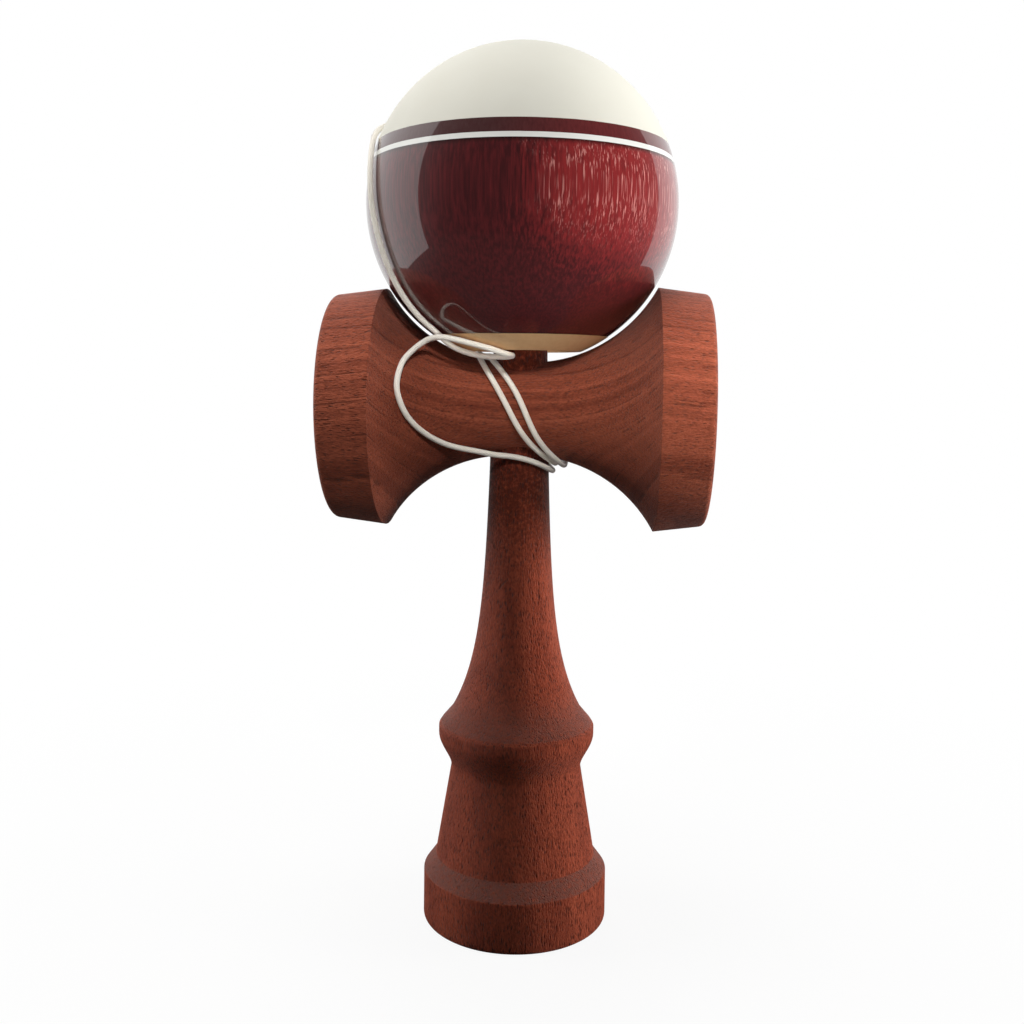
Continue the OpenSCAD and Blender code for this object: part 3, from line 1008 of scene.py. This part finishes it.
# the ball's paint: bands by height above its middle, in millimetres, over wood with upright grain
ballPaint = {
    "middle": (0, 0, shared["ballHeight"]),
    "capFoot": 10.86,
    "bandFoot": 8.36,
    "stripeFoot": 7.41,
    "lacquerFoot": -24.69,
    "lacquerEdge": 0.35,
    "stripeShade": 1.0,  # the red darkens under the stripe
    "stripeShadeShare": 0.85,
    "edge": 0.07,
    "waver": 0.06,  # of the bands' edges
    "boreRadius": 10.7,  # inside it, and under boreTop, the wood is bare
    "boreTop": 16.2,
    "cream": seen(226, 224, 212),
    "creamShade": seen(221, 218, 205),
    "band": seen(84, 58, 57),
    "bandLit": 0.6,
    "stripe": seen(240, 240, 234),
    "deepRed": seen(66, 24, 27),
    "darkRed": seen(104, 35, 38),
    # the lit red and the glint colour below are painted light for the side facing the key lamp
    "litRed": seen(150, 44, 45),
    "paintedGlint": seen(222, 150, 142),
    "edgeRed": seen(34, 12, 12),
    "bareLight": seen(246, 208, 156),
    "bareDark": seen(228, 184, 132),
    # each noise has its cells per millimetre, detail and roughness
    "ripple": ((0.2, 0.2, 0.2), 1.0),
    "streaks": ((2.4, 2.4, 0.09), 4.0, 0.6),
    "patches": ((0.16, 0.16, 0.11), 2.0),
    "glints": ((4.4, 4.4, 0.12), 2.0, 0.55),
    "rings": ((0.9, 0.9, 0.08), 3.0),
    "clouds": ((0.12, 0.12, 0.12), 2.0),
    "paintedLitWay": (0.72, -0.69, 0.02),  # the side facing the key lamp, where the red is painted lit
    "paintedLitEdge": (0.5, 0.98),
    "paintedLitRise": (-27, -2),
    "paintedLitShare": 0.75,
    "streakEdge": (0.3, 0.8),
    "streakLevel": 0.62,
    "litEdge": (0.05, 0.75),
    "glintEdge": (0.545, 0.68),
    "patchShare": 1.5,
    "paintedGlintEdge": (0.45, 1.05),
    "paintedGlintRise": (-15, 0),
    "roughness": 0.55,
    "shineSmooth": 0.12,
    "metal": 0.1,
    "coatRoughness": 0.025,
    "coatIor": 1.7,
    "bareRelief": 0.15,
    "relief": 0.25,
    "depth": 0.00008,
}


def makeLacquer(name, paint):
    material, tree, skin = newMaterial(name)
    place = grainPlace(tree, paint["middle"])
    height = parts(place)[2]
    level = height + (noise(place, *paint["ripple"]) - 0.5) * paint["waver"]

    def above(line):
        return step(level, line - paint["edge"] / 2, line + paint["edge"] / 2)

    cap, band = above(paint["capFoot"]), above(paint["bandFoot"])
    stripe, red = above(paint["stripeFoot"]), above(paint["lacquerFoot"])
    # wood grain under the red as fine streaks; painted light: the side facing the key lamp is painted
    # bright red, with painted glints in patches there
    streaks = noise(place, *paint["streaks"])
    patches = noise(place, *paint["patches"])
    glints = step(noise(place, *paint["glints"]), *paint["glintEdge"])
    paintedLitSide = step(facing(vectorCalc("NORMALIZE", place), paint["paintedLitWay"]), *paint["paintedLitEdge"])
    paintedLitSide = paintedLitSide * step(height, *paint["paintedLitRise"])
    lit = paintedLitSide * paint["paintedLitShare"] + (streaks - paint["streakLevel"])
    shown = paintedLitSide + (patches - 0.5) * paint["patchShare"]
    paintedGlint = glints * step(shown, *paint["paintedGlintEdge"]) * step(height, *paint["paintedGlintRise"])
    wood = mixed(step(streaks, *paint["streakEdge"]), paint["deepRed"], paint["darkRed"])
    wood = mixed(step(lit, *paint["litEdge"]), wood, paint["litRed"])
    wood = mixed(paintedGlint, wood, paint["paintedGlint"])
    # darker at the lacquer's lower edge and under the stripe
    rim = step(level, paint["lacquerFoot"] + paint["lacquerEdge"], paint["lacquerFoot"])
    under = step(level, paint["stripeFoot"] - paint["stripeShade"], paint["stripeFoot"])
    rim = calc("MAXIMUM", rim, under * paint["stripeShadeShare"])
    wood = mixed(rim, wood, paint["edgeRed"])
    bare = mixed(noise(place, *paint["rings"]), paint["bareDark"], paint["bareLight"])
    cream = mixed(noise(place, *paint["clouds"]), paint["creamShade"], paint["cream"])
    # the dark band is painted lit on the same side
    dark = mixed(paintedLitSide * paint["bandLit"], paint["band"], paint["litRed"])
    dark = mixed(streaks, dark, paint["deepRed"])
    fromAxis = distance(vectorCalc("MULTIPLY", place, (1, 1, 0)))
    bored = calc("LESS_THAN", fromAxis, paint["boreRadius"]) * calc("LESS_THAN", height, paint["boreTop"])
    colour = bare
    layers = ((red, wood), (stripe, paint["stripe"]), (band, dark), (cap, cream), (bored, bare))
    for mask, coat in layers:
        colour = mixed(mask, colour, coat)
    # the red, the stripe and the band are lacquered, not the cream or the bare wood
    glossy = red * (1.0 - cap) * (1.0 - bored)
    # the stripe shines less
    shine = glossy * (1.0 - stripe * (1.0 - band))
    feed(skin, {
        "Base Color": colour,
        "Metallic": shine * paint["metal"],
        "Roughness": paint["roughness"] - shine * paint["shineSmooth"],
        "Coat Weight": glossy,
        "Coat Roughness": paint["coatRoughness"],
        "Coat IOR": paint["coatIor"],
        "Normal": bump(streaks * (shine + paint["bareRelief"]), paint["relief"], paint["depth"]),
    })
    return material


ball.data.materials.append(makeLacquer("ball_lacquer", ballPaint))

# the bead: pale wood, grain along the string
beadWood = {
    **handleWood,
    "middle": (0, 0, 155),
    "light": seen(222, 194, 150),
    "dark": seen(196, 162, 116),
    "pore": seen(150, 116, 78),
    "paintedSheenAndShade": [],
    "pores": 0.5,
    "relief": 0.3,
}
bead.data.materials.append(makeWood("bead_wood", beadWood))

# white twisted string: fibres slant round it on its own map, u along it and v round it
stringFibre = {
    "light": seen(255, 250, 240),
    "dark": seen(242, 231, 210),
    "strands": 9,
    "pitch": 4.0,  # millimetres for one turn of a strand
    "fuzz": ((0.9, 16.0, 1.0), 3.0, 0.6),  # cells along, round and across, detail, roughness
    "strandShare": 0.5,
    "fuzzShare": 0.7,
    "lightEdge": (0.15, 0.8),
    "fuzzRelief": 0.35,
    "knotRound": 300.0,  # turns in a metre across a knot
    "roughness": 0.78,
    "sheen": 0.9,
    "sheenRoughness": 0.4,
    "relief": 0.3,
    "depth": 0.00003,
}


def makeStringGroup(fibre):
    outputs = {"Color": "Color", "Height": "Float"}
    tree, source, result = newGroup("twisted_string", {"Along": "Float", "Round": "Float"}, outputs)
    along = source["Along"]
    slanted = source["Round"] + along * (1 / fibre["pitch"])
    strand = calc("COSINE", slanted * (fibre["strands"] * fullTurn)) * 0.5 + 0.5
    fuzz = noise(outOf(put(tree, "CombineXYZ", {0: along, 1: slanted})), *fibre["fuzz"])
    share = strand * fibre["strandShare"] + fuzz * fibre["fuzzShare"]
    feed(result, {
        "Color": mixed(step(share, *fibre["lightEdge"]), fibre["dark"], fibre["light"]),
        "Height": strand + fuzz * fibre["fuzzRelief"],
    })
    return tree


stringGroup = makeStringGroup(stringFibre)


# a string of a length in millimetres reads its own map, and a knot, which has no length, reads its place
def makeString(name, fibre, length=None):
    material, tree, skin = newMaterial(name)
    if length:
        u, v, _ = parts(outOf(put(tree, "UVMap", {}, uv_map="lay")))
        inputs = {"Along": u * length, "Round": v}
    else:
        x, _, z = parts(objectPlace(tree))
        inputs = {"Along": z * (1 / mm), "Round": x * fibre["knotRound"]}
    made = put(tree, "Group", inputs, node_tree=stringGroup)
    feed(skin, {
        "Base Color": outOf(made, "Color"),
        "Roughness": fibre["roughness"],
        "Sheen Weight": fibre["sheen"],
        "Sheen Roughness": fibre["sheenRoughness"],
        "Normal": bump(outOf(made, "Height"), fibre["relief"], fibre["depth"]),
    })
    return material


stringOut.data.materials.append(makeString("string_fibre", stringFibre, float(stringAlong[-1])))
insideLength = shared["exitHeight"] - shared["beadFoot"]
stringIn.data.materials.append(makeString("string_inside_fibre", stringFibre, insideLength))
knotFibre = makeString("knot_fibre", stringFibre)
for knot in (ballKnot, neckKnot):
    knot.data.materials.append(knotFibre)
print("materials made")


# light: a soft key from the right, weaker panels from above, the left and behind
softAim = (0, 0, 0.1)
softLights = [
    {"name": "key_right", "place": (0.65, 0.04, 0.09), "size": (0.3, 0.34), "power": 5.6},
    {"name": "soft_top", "place": (-0.06, 0.01, 0.9), "size": (0.5, 0.26), "power": 4.0},
    {"name": "panel_left", "place": (-0.62, 0.04, 0.28), "size": (0.4, 0.6), "power": 2.7},
    {"name": "soft_back", "place": (-0.12, 0.74, 0.34), "size": (0.5, 0.4), "power": 2.6},
]
# spots from the front: a wide one on the upper toy, and narrow ones on the crosspiece's ends,
# the ball's middle and the bare ring round its hole; cones in degrees from side to side
spotSource = 0.02
frontSpots = [
    {
        "name": "spot_wide", "place": (0.1, -0.55, 0.48), "aim": (0, 0, 0.125),
        "cone": 12.0, "power": 6.0,
    },
    {
        "name": "spot_right", "place": (0.12, -0.56, 0.44), "aim": (0.042, -0.02, 0.110),
        "cone": 4.8, "power": 25.0,
    },
    {
        "name": "spot_left", "place": (0.08, -0.56, 0.44), "aim": (-0.027, -0.02, 0.107),
        "cone": 7.0, "power": 6.2,
    },
    {
        "name": "spot_ball", "place": (0.10, -0.58, 0.40), "aim": (0.006, -0.02, 0.141),
        "cone": 4.5, "power": 2.0,
    },
    {
        "name": "spot_low", "place": (0.05, -0.6, 0.03), "aim": (0.006, -0.014, 0.1195),
        "cone": 4.0, "power": 11.5,
    },
]


# a lamp that the gloss doesn't show, turned to what it lights
def addLamp(light, data, aim):
    data.energy = light["power"]
    lamp = bpy.data.objects.new(light["name"], data)
    lamp.location = light["place"]
    lamp.visible_glossy = False
    lamp.rotation_euler = (Vector(aim) - Vector(light["place"])).to_track_quat("-Z", "Y").to_euler()
    scene.collection.objects.link(lamp)


for light in softLights:
    panel = bpy.data.lights.new(light["name"], "AREA")
    panel.shape = "RECTANGLE"
    panel.size, panel.size_y = light["size"]
    addLamp(light, panel, softAim)

for light in frontSpots:
    spot = bpy.data.lights.new(light["name"], "SPOT")
    spot.spot_size = np.radians(light["cone"])
    spot.spot_blend = 1.0
    spot.shadow_soft_size = spotSource
    addLamp(light, spot, light["aim"])

# white surroundings: white to the camera, white behind the toy to the lacquer, and dim where they light it
surround = {"fill": 0.07, "frontGloss": 0.03, "backAxis": (-0.36, 0.93, 0.0), "backEdge": 0.113}


def setWorld(values):
    world = bpy.data.worlds.new("white_studio")
    world.use_nodes = True
    scene.world = world
    tree = world.node_tree
    path = put(tree, "LightPath", {})
    way = outOf(put(tree, "TexCoord", {}), "Generated")
    behind = calc("GREATER_THAN", facing(way, values["backAxis"]), values["backEdge"])
    gloss = calc("MAXIMUM", behind, values["frontGloss"])
    mirrored = calc("MAXIMUM", outOf(path, "Is Glossy Ray"), outOf(path, "Is Transmission Ray"))
    strength = mirrored * gloss + (1.0 - mirrored) * values["fill"]
    strength = calc("MAXIMUM", strength, outOf(path, "Is Camera Ray"))
    feed(tree.nodes["Background"], {"Color": (1, 1, 1, 1), "Strength": strength})


setWorld(surround)

# pale floor: white to the camera and dim to the toy, keeping a part of its shade near the toy
floorLook = {
    "reach": 0.3,
    "shade": seen(225, 225, 223),
    "dim": seen(70, 68, 66),
    "near": 0.03,
    "far": 0.22,
    "keep": 0.92,  # share of plain white near the toy
}


def addFloor(look):
    reach = look["reach"]
    corners = [(-reach, -reach, 0), (reach, -reach, 0), (reach, reach, 0), (-reach, reach, 0)]
    mesh = bpy.data.meshes.new("floor")
    mesh.from_pydata(corners, [], [(0, 1, 2, 3)])
    floor = bpy.data.objects.new("floor", mesh)
    scene.collection.objects.link(floor)
    material, tree, skin = newMaterial("pale_floor")
    tree.nodes.remove(skin)
    inputs = {
        "Value": distance(objectPlace(tree)), "From Min": look["near"], "From Max": look["far"],
        "To Min": look["keep"], "To Max": 1.0,
    }
    share = outOf(put(tree, "MapRange", inputs))
    path = put(tree, "LightPath", {})
    camera = outOf(path, "Is Camera Ray")
    looked = calc("MAXIMUM", camera, outOf(path, "Is Transmission Ray"))
    shade = mixed(camera, look["dim"], look["shade"])
    dull = outOf(put(tree, "BsdfDiffuse", {"Color": shade}))
    white = outOf(put(tree, "Emission", {"Color": (1, 1, 1, 1), "Strength": 1.0}))
    both = outOf(put(tree, "MixShader", {0: looked * share, 1: dull, 2: white}))
    feed(tree.nodes["Material Output"], {"Surface": both})
    mesh.materials.append(material)


addFloor(floorLook)
scene.view_settings.view_transform = "Standard"
print("light, surroundings and floor set")
